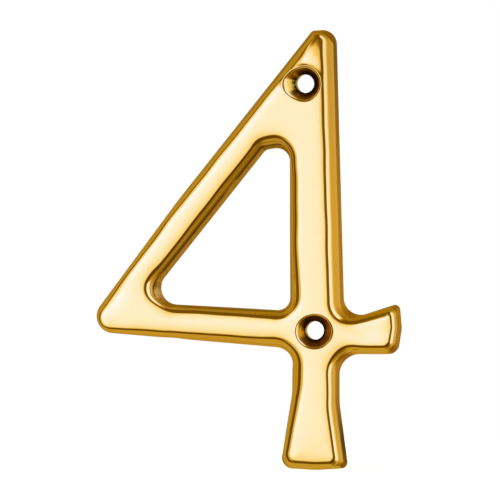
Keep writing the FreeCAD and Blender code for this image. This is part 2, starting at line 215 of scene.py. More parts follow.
@dataclass
class Outline:
    """Closed loop of straight sides with a tangent arc at every corner.

    land_inset is how far the top of the land is set in, at most, and fringe how far the outermost
    layer of the polished metal stands out from the sides as they are given. The face edge, polished
    by hand, wavers to both sides by up to about 1.6 times waver, as two sine waves of about the
    given wavelengths along it. The roll of the edge changes evenly over even_run at each corner.
    """

    sides: tuple[Side, ...]
    edge: Edge
    land_inset: float
    swells: tuple[Swell, ...] = ()
    fringe: float = 0.05
    waver: float = 0.035
    wavelengths: tuple[float, float] = (12.0, 7.0)
    spacing: float = 0.22
    arc_step: float = 4.0
    even_run: float = 2.4

    def _directions(self, level: Level) -> np.ndarray:
        """Which way each side runs at a level."""
        turned = [side.face_turn if level is Level.FACE else 0.0 for side in self.sides]
        return np.array([side.direction for side in self.sides]) + np.array(turned)

    def _normals(self, level: Level) -> np.ndarray:
        """Outward unit direction of each side."""
        angles = np.radians(self._directions(level) - 90.0)
        return np.stack([np.cos(angles), np.sin(angles)], axis=1)

    def _insets(self, level: Level) -> np.ndarray:
        """How far each side has moved into the metal at a level.

        Args:
            level: Height of the outline.

        Returns:
            One distance a side, less the fringe.
        """
        bevels = np.array([side.bevel for side in self.sides])
        land = np.minimum(self.land_inset, 0.7 * bevels + 0.05)
        by_level = {Level.BACK: bevels * 0.0, Level.LAND: land, Level.FACE: bevels}
        return by_level[level] - self.fringe

    def _corners(self, level: Level) -> tuple[np.ndarray, np.ndarray, np.ndarray, np.ndarray]:
        """Arcs between each side and the next.

        A side is the line normal . p = offset. The centre of a tangent arc lies a radius inside
        both lines where the loop turns left, and a radius outside both where it turns right, so it
        solves two such equations.

        Args:
            level: Height of the outline.

        Returns:
            Centres, signed radii (positive at a left turn), first angles and turns, one row a
            corner.
        """
        normals = self._normals(level)
        datums = np.array([side.datum for side in self.sides])
        reach = np.array([side.facing * side.reach for side in self.sides])
        offsets = reach + (normals * datums).sum(1) + self.edge.value * self._insets(level)
        directions = self._directions(level)
        turns = (np.roll(directions, -1) - directions + 180.0) % 360.0 - 180.0
        which = "face_radius" if level is Level.FACE else "radius"
        radii = np.sign(turns) * np.array([getattr(side, which) for side in self.sides])
        pairs = np.stack([normals, np.roll(normals, -1, axis=0)], axis=1)
        targets = np.stack([offsets - radii, np.roll(offsets, -1) - radii], axis=1)
        centres = np.linalg.solve(pairs, targets[..., None])[..., 0]
        return centres, radii, np.radians(directions - 90.0), np.radians(turns)

    def _counts(self) -> list[tuple[int, int]]:
        """Counts the samples of each side, which are the same at every level.

        Returns:
            For each side, the samples on its straight stretch and on the arc after it.
        """
        centres, radii, _, turns = self._corners(Level.BACK)
        normals = self._normals(Level.BACK)
        starts = np.roll(centres + radii[:, None] * np.roll(normals, -1, axis=0), 1, axis=0)
        ends = centres + radii[:, None] * normals
        lengths = np.linalg.norm(ends - starts, axis=1)
        straight = np.maximum(3, np.ceil(lengths / self.spacing)).astype(int)
        by_angle = np.abs(np.degrees(turns)) / self.arc_step
        by_length = np.abs(turns * radii) / self.spacing
        arcs = np.maximum(3, np.ceil(np.maximum(by_angle, by_length))).astype(int)
        return list(zip(straight.tolist(), arcs.tolist()))

    def _wavered(self, places: np.ndarray, outward: np.ndarray) -> np.ndarray:
        """Moves the points of the face edge to and fro, by a sum of two sines of the way along it.

        Args:
            places: Points of the loop.
            outward: Their outward directions.

        Returns:
            The moved points.
        """
        steps = np.linalg.norm(np.roll(places, -1, axis=0) - places, axis=1)
        along = FULL_TURN * np.cumsum(steps) / steps.sum()
        long, short = (round(steps.sum() / length) for length in self.wavelengths)
        wave = np.sin(long * along + 0.7) + 0.6 * np.sin(short * along + 2.1)
        return places + self.waver * wave[:, None] * outward

    def _evened(self, rolls: np.ndarray) -> np.ndarray:
        """Takes a bell-weighted mean of neighbours round the loop, so that rolls change gently.

        Args:
            rolls: Rolls of the loop's samples, in order.

        Returns:
            The evened rolls.
        """
        span = int(self.even_run / self.spacing)
        weights = np.hanning(2 * span + 3)[1:-1]
        padded = np.concatenate([rolls[-span:], rolls, rolls[:span]])
        return np.convolve(padded, weights / weights.sum(), "valid")

    def ring(self, level: Level) -> Ring:
        """Samples the outline at a level.

        A point of an arc is centre + radius * (cos a, sin a), with a going evenly from one side's
        outward direction to the next one's, and a straight stretch joins the ends of two arcs.

        Args:
            level: Height of the outline.

        Returns:
            The points, outward directions and rolls, in the same order and number at every level.
        """
        centres, radii, first, turns = self._corners(level)
        rolls = [side.roll for side in self.sides]
        points, normals, runs = [], [], []
        for i, (straight, arc) in enumerate(self._counts()):
            normal = np.array([math.cos(first[i]), math.sin(first[i])])
            start = centres[i - 1] + radii[i - 1] * normal
            end = centres[i] + radii[i] * normal
            share = (np.arange(straight) / straight)[:, None]
            points.append(start + (end - start) * share)
            normals.append(np.repeat(normal[None], straight, axis=0))
            runs.append(np.full(straight, rolls[i]))
            angles = first[i] + turns[i] * np.arange(arc) / arc
            around = np.stack([np.cos(angles), np.sin(angles)], axis=1)
            points.append(centres[i] + radii[i] * around)
            normals.append(around)
            after = rolls[(i + 1) % len(rolls)]
            runs.append(rolls[i] + (after - rolls[i]) * np.arange(arc) / arc)
        places, outward = np.concatenate(points), np.concatenate(normals)
        if level is Level.FACE:
            places = self._wavered(places, outward)
        rolled = self._evened(np.concatenate(runs))
        for swell in self.swells:
            rolled = rolled + swell.roll * swell.share(places)
            places = places + self.edge.value * swell.dent(places, level)[:, None] * outward
        return Ring(places, outward, rolled)


@dataclass(frozen=True)
class Section:
    """Section of the metal from the back up to the face.

    The face edge is rounded over a run, both down the wall and in over the face, from the corner
    that wall and face would make. Beyond the rounding the face goes on rising to its full height,
    by crown in all, over a distance of about crown_length. A wall bulges, so that at its top it
    leans in by up to lean more degrees than on the whole, and less where it is narrower than a
    millimetre. land_rows and wall_start are shares of the way up the land and the wall.
    """

    thickness: float = 5.0
    land_depth: float = 1.4
    back_break: float = 0.15
    crown: float = 0.085
    crown_length: float = 0.85
    lean: float = 7.0
    rounding_rows: int = 16
    wall_rows: int = 9
    wall_start: float = 0.012
    land_rows: tuple[float, ...] = (0.4, 0.7, 0.88, 0.97)
    apron_steps: tuple[float, ...] = (0.09, 0.2)

    def crowned(self, distance: np.ndarray | float) -> np.ndarray | float:
        """Height of the face at a distance from its rounded edge."""
        return self.thickness - self.crown * np.exp(-distance / self.crown_length)

    def carry(self, outline: Outline) -> tuple[np.ndarray, np.ndarray]:
        """Carries the section round an outline.

        Each row of the section is one closed ring. A wall's row is a point of its chord, moved
        outwards by bulge * s * (1-s). The rounding is a conic arc from the wall to the face: with
        W on the wall, P on the face and C where their tangents meet, its points are
        ((1-s)^2 W + 2 w s (1-s) C + s^2 P) over the same weights, where w makes it an ellipse's
        arc.

        Args:
            outline: The loop to carry it round.

        Returns:
            Vertices as an array of rows, samples and (x, z, height), and each row's share of the
            way from wall to face as 0 to 1.
        """
        back, land, face = (outline.ring(level) for level in Level)
        into = outline.edge.value * face.normals
        low, mid = lift(back.points, 0.0), lift(land.points, self.land_depth)
        top = lift(face.points, self.thickness)
        length = np.linalg.norm(top - mid, axis=1)[:, None]
        straight = (top - mid) / length
        inwards = (straight[:, :2] * into).sum(1)[:, None]
        outward = lift(-into * straight[:, 2:], 0.0) + lift(into * 0.0, 1.0) * inwards
        lean = math.radians(self.lean) * np.clip(inwards * length, 0.0, 1.0)
        wall = straight * np.cos(lean) - outward * np.sin(lean)
        tilt = math.atan(self.crown / self.crown_length)
        inward = lift(into * math.cos(tilt), math.sin(tilt))
        run = face.rolls[:, None]
        corner = top - wall * ((self.crown + run * math.sin(tilt)) / wall[:, 2:])
        on_wall = corner - wall * run
        on_face = corner + inward * run

        rows = [lift(back.points + self.back_break * outline.edge.value * back.normals, 0.0)]
        rows.append(low + (mid - low) * (self.back_break / self.land_depth))
        rows += [low + (mid - low) * share for share in self.land_rows]
        chord = on_wall - mid
        bulge = outward * lean * (run + np.linalg.norm(chord, axis=1)[:, None])
        for s in np.linspace(self.wall_start, 1.0, self.wall_rows):
            rows.append(mid + chord * s + bulge * s * (1 - s))
        before = len(rows)
        weight = np.sqrt((1.0 + (wall * inward).sum(1)) / 2.0)[:, None]
        for s in np.linspace(0.0, 1.0, self.rounding_rows + 1)[1:]:
            a, b, c = (1 - s) ** 2, 2 * weight * s * (1 - s), s * s
            rows.append((a * on_wall + b * corner + c * on_face) / (a + b + c))
        for step in self.apron_steps:
            rows.append(lift((on_face + lift(into * step, 0.0))[:, :2], self.crowned(step)))
        shares = np.clip((np.arange(len(rows)) - before + 1) / self.rounding_rows, 0.0, 1.0)
        return np.stack(rows), shares


@dataclass(frozen=True)
class ScrewHole:
    """A countersunk hole, cut a little steeper than 45 degrees and a little off its bore's axis.

    Its rim is an oval, wider than high by oval, about a centre that is off by shift, and is
    rounded over soften. It may be drawn out to a point on one side, where it runs into a rounded
    edge, and there the cutter left facets: the cone's slope goes up and down by that share, as a
    sine of the angle. A soft lip stands up round it on the side of lip_towards. Next to the bore
    it has painted shade, most on the side of dark_towards, and the drill cut fine rings, chatter
    high and chatter_pitch apart.
    """

    place: Point
    radius: float = 1.6
    rim_radius: float = 3.03
    oval: float = 0.127
    shift: Point = (0.1, -0.2)
    steepness: float = 50.5
    soften: float = 0.28
    facets: float = 0.04
    facet_count: int = 7
    drawn_out: float = 0.0
    drawn_towards: float = LEFT
    drawn_sharpness: float = 4.0
    lip: float = 0.0
    lip_towards: float = LEFT
    lip_width: float = 0.45
    dark_towards: float = -15.0
    dark_width: float = 0.38
    chatter: float = 0.0025
    chatter_pitch: float = 0.36
    around: int = 144
    rings: int = 44
    reach: float = 1.2

    def polar(self, points: np.ndarray) -> tuple[np.ndarray, np.ndarray]:
        """Distance from the axis and angle round it, in radians."""
        away = points - np.array(self.place)
        return np.hypot(away[..., 0], away[..., 1]), np.arctan2(away[..., 1], away[..., 0])

    def _drawn(self, angle: np.ndarray) -> np.ndarray:
        """How far an angle is on the side that is drawn out, from 0 to 1."""
        facing = np.clip(np.cos(angle - math.radians(self.drawn_towards)), 0.0, 1.0)
        return facing**self.drawn_sharpness

    def _rim(self, angle: np.ndarray) -> np.ndarray:
        """Radius of the rim: an oval off centre, and the point drawn out of it.

        Args:
            angle: Angles round the axis, in radians.

        Returns:
            The radius at each angle.
        """
        moved = self.shift[0] * np.cos(angle) + self.shift[1] * np.sin(angle)
        oval = self.rim_radius + self.oval * np.cos(2 * angle)
        return oval + moved + self.drawn_out * self._drawn(angle)

    def height(self, points: np.ndarray, thickness: float) -> np.ndarray:
        """Height of the cone, which rises evenly from the bore out to its rim but for its marks.

        The facets change the slope by a sine of the angle, and the rings are a sine of the
        distance from the axis.

        Args:
            points: Places in the plane.
            thickness: Height of the face.

        Returns:
            The height at each place.
        """
        distance, angle = self.polar(points)
        rim = self._rim(angle)
        slope = (self.rim_radius - self.radius) / (rim - self.radius)
        slope = slope * math.tan(math.radians(self.steepness))
        wave = np.sin(self.facet_count * angle + 0.6)
        slope = slope * (1.0 + self.facets * self._drawn(angle) * wave)
        rings = np.sin(FULL_TURN * distance / self.chatter_pitch + 0.4 * np.cos(angle))
        return thickness - (rim - distance) * slope + self.chatter * rings

    def bore_shade(self, points: np.ndarray) -> np.ndarray:
        """How much painted shade the metal has, as a bell over the distance from the bore.

        Args:
            points: Places in the plane.

        Returns:
            From 0 to 1 a place, greatest on the dark side.
        """
        distance, angle = self.polar(points)
        side = 0.5 + 0.5 * np.cos(angle - math.radians(self.dark_towards))
        return np.sqrt(side) * bell(np.maximum(distance - self.radius, 0.0), self.dark_width)

    def raised(self, points: np.ndarray) -> np.ndarray:
        """Height of the lip, a bell over the distance from the rim, on its side of the hole.

        Args:
            points: Places in the plane.

        Returns:
            The height at each place.
        """
        distance, angle = self.polar(points)
        side = 0.5 + 0.5 * np.cos(angle - math.radians(self.lip_towards))
        return self.lip * side * bell(distance - self._rim(angle), self.lip_width)

    def circle(self, radius: float) -> np.ndarray:
        """Points of a circle about the axis."""
        angles = np.arange(self.around) * (FULL_TURN / self.around)
        return np.array(self.place) + radius * np.stack([np.cos(angles), np.sin(angles)], axis=1)

    def rings_beyond(self) -> np.ndarray:
        """Points on circles from just outside the bore to past the rim."""
        radii = np.linspace(self.radius, self.rim_radius + self.reach, self.rings + 1)[1:]
        return np.concatenate([self.circle(radius) for radius in radii])


@dataclass(frozen=True)
class Wave:
    """A long shallow rise or hollow that hand polishing left in the face.

    Its height is amount times exp(-(u/length)^2 - (v/width)^2), with u and v measured along and
    across a direction from its place.
    """

    place: Point
    direction: float
    length: float
    width: float
    amount: float

    def height(self, points: np.ndarray) -> np.ndarray:
        """Height that it adds at each place.

        Args:
            points: Places in the plane.

        Returns:
            The height at each place.
        """
        angle = math.radians(self.direction)
        away = points - np.array(self.place)
        u = away[..., 0] * math.cos(angle) + away[..., 1] * math.sin(angle)
        v = away[..., 1] * math.cos(angle) - away[..., 0] * math.sin(angle)
        return self.amount * np.exp(-((u / self.length) ** 2) - (v / self.width) ** 2)


@dataclass
class Shell:
    """Vertices and faces gathered for one mesh, with the numbers that its finish reads."""

    places: list[np.ndarray] = field(default_factory=list)
    faces: list[np.ndarray] = field(default_factory=list)
    marks: dict[str, list[np.ndarray]] = field(default_factory=dict)
    count: int = 0

    def add(self, places: np.ndarray, **marks: np.ndarray | float) -> np.ndarray:
        """Adds vertices.

        Args:
            places: Their places, in an array of any shape whose last axis is (x, z, height).
            marks: A number for each vertex, or one for all, by the name of its attribute.

        Returns:
            Their indices, in the shape of the places.
        """
        flat = places.reshape(-1, 3)
        for name, values in marks.items():
            filled = np.broadcast_to(np.asarray(values, float), places.shape[:-1]).reshape(-1)
            self.marks.setdefault(name, []).append(filled)
        self.places.append(flat)
        indices = np.arange(self.count, self.count + len(flat)).reshape(places.shape[:-1])
        self.count += len(flat)
        return indices

    def band(self, rows: np.ndarray, turned: bool) -> None:
        """Joins rows of closed rings with four-sided faces.

        Args:
            rows: Indices of the vertices, one row a ring.
            turned: Whether the faces are wound the other way.
        """
        a, b = rows[:-1], rows[1:]
        ahead, beyond = np.roll(a, -1, axis=1), np.roll(b, -1, axis=1)
        quads = np.stack([a, ahead, beyond, b], axis=-1).reshape(-1, 4)
        self.faces.append(quads[:, ::-1] if turned else quads)

    def sheet(self, parts: list[tuple[np.ndarray, np.ndarray]], loops: int, turned: bool) -> None:
        """Fills the plane between loops with triangles.

        The first loop bounds the sheet and the others are gaps in it, which bulge outwards all
        round, so that a triangle with all its corners on one of them is in the gap and left out.

        Args:
            parts: Indices and places in the plane of groups of vertices, the loops first, each in
                order round it, and then any loose points.
            loops: How many of the groups are loops.
            turned: Whether the triangles are wound clockwise in the plane.
        """
        indices, points = (np.concatenate(column) for column in zip(*parts))
        starts = np.cumsum([0] + [len(group) for group, _ in parts])
        rings = [np.arange(starts[i], starts[i + 1]) for i in range(loops)]
        edges = np.concatenate([np.stack([ring, np.roll(ring, -1)], axis=1) for ring in rings])
        only_inside, tolerance = 1, 1e-7
        corners = [Vector(point) for point in points.tolist()]
        found = delaunay_2d_cdt(corners, edges.tolist(), [], only_inside, tolerance)
        origin = np.array([sources[0] for sources in found[3]])
        triangles = origin[np.array([tuple(triangle) for triangle in found[2]])]
        gap_of = np.zeros(len(points), int)
        for number, ring in enumerate(rings[1:], start=1):
            gap_of[ring] = number
        gaps = gap_of[triangles]
        in_gap = (gaps[:, 0] > 0) & (gaps[:, 0] == gaps[:, 1]) & (gaps[:, 0] == gaps[:, 2])
        triangles = indices[triangles[~in_gap]]
        self.faces.append(triangles[:, ::-1] if turned else triangles)

    def mesh(self, name: str) -> bpy.types.Object:
        """Makes the object, in metres, with (x, z, height) placed as (x, -height, z).

        Args:
            name: Name of the object and its mesh.

        Returns:
            The object, smooth but for its sharp edges.
        """
        places = np.concatenate(self.places) * METRES
        spots = np.stack([places[:, 0], -places[:, 2], places[:, 1]], axis=1)
        mesh = bpy.data.meshes.new(name)
        sizes = np.concatenate([np.full(len(group), group.shape[1]) for group in self.faces])
        corners = np.concatenate([group.reshape(-1) for group in self.faces])
        mesh.vertices.add(len(spots))
        mesh.vertices.foreach_set("co", spots.reshape(-1))
        mesh.loops.add(len(corners))
        mesh.loops.foreach_set("vertex_index", corners)
        mesh.polygons.add(len(sizes))
        mesh.polygons.foreach_set("loop_start", np.concatenate([[0], np.cumsum(sizes)[:-1]]))
        mesh.polygons.foreach_set("use_smooth", np.ones(len(sizes), bool))
        for mark, values in self.marks.items():
            attribute = mesh.attributes.new(mark, "FLOAT", "POINT")
            attribute.data.foreach_set("value", np.concatenate(values))
        mesh.update(calc_edges=True)
        mesh.validate()
        mesh.set_sharp_from_angle(angle=math.radians(SHARP_ANGLE))
        made = bpy.data.objects.new(name, mesh)
        bpy.context.scene.collection.objects.link(made)
        return made


class Channel:
    """A shader socket that takes part in Python arithmetic, each step adding a Math node."""

    def __init__(self, graph: "Graph", socket: bpy.types.NodeSocket) -> None:
        """Wraps a socket of a graph."""
        self.graph = graph
        self.socket = socket

    def __add__(self, other: "Channel | float") -> "Channel":
        """Sum."""
        return self.graph.maths("ADD", self, other)

    def __sub__(self, other: "Channel | float") -> "Channel":
        """Difference."""
        return self.graph.maths("SUBTRACT", self, other)

    def __rsub__(self, other: float) -> "Channel":
        """Difference from a number."""
        return self.graph.maths("SUBTRACT", other, self)

    def __mul__(self, other: "Channel | float") -> "Channel":
        """Product."""
        return self.graph.maths("MULTIPLY", self, other)

    def __truediv__(self, other: "Channel | float") -> "Channel":
        """Quotient."""
        return self.graph.maths("DIVIDE", self, other)

    __radd__ = __add__
    __rmul__ = __mul__


class Graph:
    """Nodes of one material or world."""

    def __init__(self, owner: bpy.types.Material | bpy.types.World) -> None:
        """Starts an empty node tree on its owner.

        Args:
            owner: The material or world.
        """
        owner.use_nodes = True
        self.tree = owner.node_tree
        self.tree.nodes.clear()

    def node(
        self, kind: str, settings: dict | None = None, inputs: dict | None = None
    ) -> bpy.types.Node:
        """Adds a node.

        Args:
            kind: Node type, such as ShaderNodeMath.
            settings: Attributes, set first. The attribute stops holds a ramp's values and colours.
            inputs: Values or links by socket name or number.

        Returns:
            The node.
        """
        made = self.tree.nodes.new(kind)
        for name, value in (settings or {}).items():
            if name == "stops":
                elements = made.color_ramp.elements
                elements.remove(elements[1])
                for i, (place, colour) in enumerate(value):
                    element = elements.new(place) if i else elements[0]
                    element.position, element.color = place, (*colour, 1.0)
            else:
                setattr(made, name, value)
        for name, value in (inputs or {}).items():
            if isinstance(value, Channel):
                self.tree.links.new(value.socket, made.inputs[name])
            else:
                made.inputs[name].default_value = value
        return made

    def value(self, kind: str, settings: dict, inputs: dict, output: str | int = 0) -> Channel:
        """Adds a node and wraps one of its outputs."""
        return Channel(self, self.node(kind, settings, inputs).outputs[output])

    def maths(self, operation: str, *values: "Channel | float") -> Channel:
        """Adds a Math node on one or two values."""
        return self.value("ShaderNodeMath", {"operation": operation}, dict(enumerate(values)))

    def step(self, value: Channel, start: float, end: float) -> Channel:
        """Goes smoothly from 0 at start to 1 at end, and start may be the greater."""
        inputs = {"Value": value, "From Min": start, "From Max": end}
        return self.value("ShaderNodeMapRange", {"interpolation_type": "SMOOTHSTEP"}, inputs)

    def window(self, value: Channel, low: float, high: float, soft: float) -> Channel:
        """1 between low and high, falling to 0 over a soft margin outside both."""
        return self.step(value, low - soft, low) * self.step(value, high + soft, high)

    def blend(self, factor: Channel, first: Channel | Colour, second: Channel | Colour) -> Channel:
        """Mixes two colours."""
        a, b = (v if isinstance(v, Channel) else (*v, 1.0) for v in (first, second))
        return self.value("ShaderNodeMix", {"data_type": "RGBA"}, {0: factor, 6: a, 7: b}, 2)

    def ramp(self, value: Channel, stops: tuple[tuple[float, Colour], ...]) -> Channel:
        """Goes through colours, each given after the value at which it is reached."""
        return self.value("ShaderNodeValToRGB", {"stops": stops}, {0: value})

    def noise(self, place: Channel, scale: float, detail: float = 2.0) -> Channel:
        """Even noise about 0.5 over a place."""
        inputs = {"Vector": place, "Scale": scale, "Detail": detail}
        return self.value("ShaderNodeTexNoise", {}, inputs, "Fac")

    def attribute(self, name: str) -> Channel:
        """Reads a number that the mesh holds at each vertex."""
        return self.value("ShaderNodeAttribute", {"attribute_name": name}, {}, "Fac")


@dataclass(frozen=True)
class PolishedBrass:
    """Lacquered polished brass: pale on the face, deeper on the walls, dull on the land.

    The face's paler colour is a painted highlight, and on some lands the dullness is painted
    shade. The scales are those of its noises, in cycles a metre, and relief is in metres.
    """

    face_highlight_colour: Colour = (0.97, 0.77, 0.42)
    wall_colour: Colour = (0.95, 0.66, 0.22)
    skin_colour: Colour = (0.5, 0.27, 0.02)
    hollow_colour: Colour = (0.88, 0.58, 0.08)
    shade_colour: Colour = (0.06, 0.029, 0.003)
    polish: float = 0.05
    skin_roughness: float = 0.32
    back_roughness: float = 0.30
    hollow_roughness: float = 0.12
    cloud_scale: float = 90.0
    patch_scale: float = 170.0
    polishing_scale: float = 330.0
    pit_scale: float = 1400.0
    grain_scale: float = 2600.0
    relief: float = 0.00003

    def material(self) -> bpy.types.Material:
        """Makes the material.

        Its attributes go from 0 to 1, in the order they are read: from the face, whose paler colour
        is a painted highlight, to the walls; where the casting was not polished, and more on lands
        that face right as painted shade; on the flat back; in the countersinks; painted shade by the
        bores, under the opening's roof and on walls and lands near the tip and the foot; and a
        painted shade line along the top of the land.

        Returns:
            The material.
        """
        made = bpy.data.materials.new("polished_brass")
        g = Graph(made)
        place = g.value("ShaderNodeTexCoord", {}, {}, "Object")
        names = ("warmth", "skin", "back", "hollow", "dark", "crease")
        warmth, skin, back, hollow, dark, crease = (g.attribute(name) for name in names)
        cloud = g.noise(place, self.cloud_scale, 3.0)
        grain = g.noise(place, self.grain_scale)
        pits = g.step(g.noise(place, self.pit_scale, 3.0), 0.55, 0.68)
        # Patches in which the painted shade line along the top of the land shows.
        patchy = g.step(g.noise(place, self.patch_scale, 3.0), 0.36, 0.52)

        # The face's paler colour is a painted highlight, giving way to the deeper colour of the
        # walls.
        colour = g.blend(warmth, self.face_highlight_colour, self.wall_colour)
        # Unpolished casting on the land, and more of it on lands that face right as painted shade.
        colour = g.blend(skin * (0.85 + 0.15 * pits), colour, self.skin_colour)
        colour = g.blend(hollow, colour, self.hollow_colour)
        # Painted shade, and a painted shade line in patches along the top of the land.
        colour = g.blend(dark + crease * patchy, colour, self.shade_colour)
        colour = g.blend(back * (0.35 + 0.3 * cloud), colour, self.skin_colour)
        roughness = self.polish + 0.03 * cloud + skin * (self.skin_roughness * (0.5 + 0.5 * pits))
        roughness = roughness + self.hollow_roughness * g.step(hollow, 0.0, 0.12)
        roughness = roughness + back * (self.back_roughness * (0.6 + 0.5 * grain))
        polishing = g.noise(place, self.polishing_scale)
        height = polishing + 0.05 * grain + skin * pits * 0.4 + back * grain * 0.9
        inputs = {"Height": height, "Distance": self.relief, "Strength": 0.5}
        bump = g.value("ShaderNodeBump", {}, inputs, "Normal")
        inputs = {"Base Color": colour, "Roughness": roughness, "Metallic": 1.0, "Normal": bump}
        shader = g.value("ShaderNodeBsdfPrincipled", {}, inputs)
        g.node("ShaderNodeOutputMaterial", {}, {"Surface": shader})
        return made


@dataclass(frozen=True)
class ToneAndShade:
    """Numbers from 0 to 1 for the finish, among them painted highlight and painted shade.

    The face's painted highlight fades from tip_start on up to the tip. Painted shade darkens the
    walls from top_start upwards, and the land also there and beside the foot, about foot_middle,
    and the opening's roof. A painted shade line lies along the top of the land, and a countersink
    is all hollow at hollow_depth.
    """

    tip_start: float = 44.5
    tip_run: float = 3.5
    tip_highlight_fade: float = 0.65
    top_start: float = 22.0
    top_run: float = 26.0
    top_highlight_fade: float = 0.7
    top_dark: float = 0.1
    top_land_dark: float = 0.5
    foot_middle: float = -19.5
    foot_width: float = 5.5
    foot_land_dark: float = 0.92
    roof_dark: float = 0.35
    least_skin: float = 0.2
    opening_skin: float = 0.75
    crease_drop: float = 0.04
    crease_width: float = 0.16
    hollow_depth: float = 0.6

    def at_tip(self, points: np.ndarray) -> np.ndarray:
        """How much the face's painted highlight fades towards the tip."""
        above = points[..., 1] - self.tip_start
        return self.tip_highlight_fade * np.clip(above / self.tip_run, 0.0, 1.0)

    def sunk(self, depth: np.ndarray) -> np.ndarray:
        """How far the metal is in a countersink that lowers it by a depth."""
        return np.clip(depth / self.hollow_depth, 0.0, 1.0)

    def along(
        self, rows: np.ndarray, outward: np.ndarray, share: np.ndarray, edge: Edge, land_depth: float
    ) -> dict[str, np.ndarray]:
        """Works out the numbers for a section that is carried round an outline.

        Args:
            rows: Places as rows, samples and (x, z, height).
            outward: Outward directions of the samples.
            share: Share of the way from wall to face, one a row.
            edge: Which outline it is.
            land_depth: Height of the top of the land.

        Returns:
            An array by name for each of: the fade of the face's painted highlight, the
            unpolished casting with painted shade, the back, painted shade, and the painted shade
            line on the land.
        """
        depth = rows[..., 2]
        share = share[:, None]
        is_land = depth < land_depth * 1.01
        # A painted shade line along the top of the land.
        crease = bell(depth - land_depth + self.crease_drop, self.crease_width)
        back = np.zeros(depth.shape)
        back[0] = 1.0
        if edge is Edge.OPENING:
            skin = is_land * self.opening_skin
            # Painted shade under the opening's roof, on its walls that face down.
            roof = np.clip((outward[:, 1] - 0.3) / 0.5, 0.0, 1.0)
            dark = (1.0 - share) * self.roof_dark * roof
            # The face's painted highlight gives way to the wall's colour down the rounding.
            warmth = 1.0 - share
        else:
            right = np.clip(1.3 * outward[:, 0], 0.0, 1.0)
            left = np.clip(-1.3 * outward[:, 0], 0.0, 1.0)
            beside = np.abs(outward[:, 0]) ** 2
            top = np.clip((rows[..., 1] - self.top_start) / self.top_run, 0.0, 1.0)
            foot = bell(rows[..., 1] - self.foot_middle, self.foot_width)
            # The unpolished casting on the land; the extra on lands that face right is painted
            # shade.
            skin = is_land * (self.least_skin + (1.0 - self.least_skin) * right)
            # Painted shade on side walls towards the tip, and on their land there and beside the
            # foot.
            land_dark = is_land * (self.top_land_dark * top + self.foot_land_dark * foot)
            dark = beside * (self.top_dark * top + land_dark)
            # Less of the face's painted highlight on the side walls' rounding towards the tip.
            warmth = 1.0 - share * (1.0 - self.top_highlight_fade * top * beside)
            # The painted shade line only on walls that face left, towards the tip.
            crease = crease * (top * left)
        # The face's painted highlight fades towards the tip.
        warmth = np.maximum(warmth, self.at_tip(rows))
        dark = dark * (1.0 - back)
        return {"warmth": warmth, "skin": skin, "back": back, "dark": dark, "crease": crease}


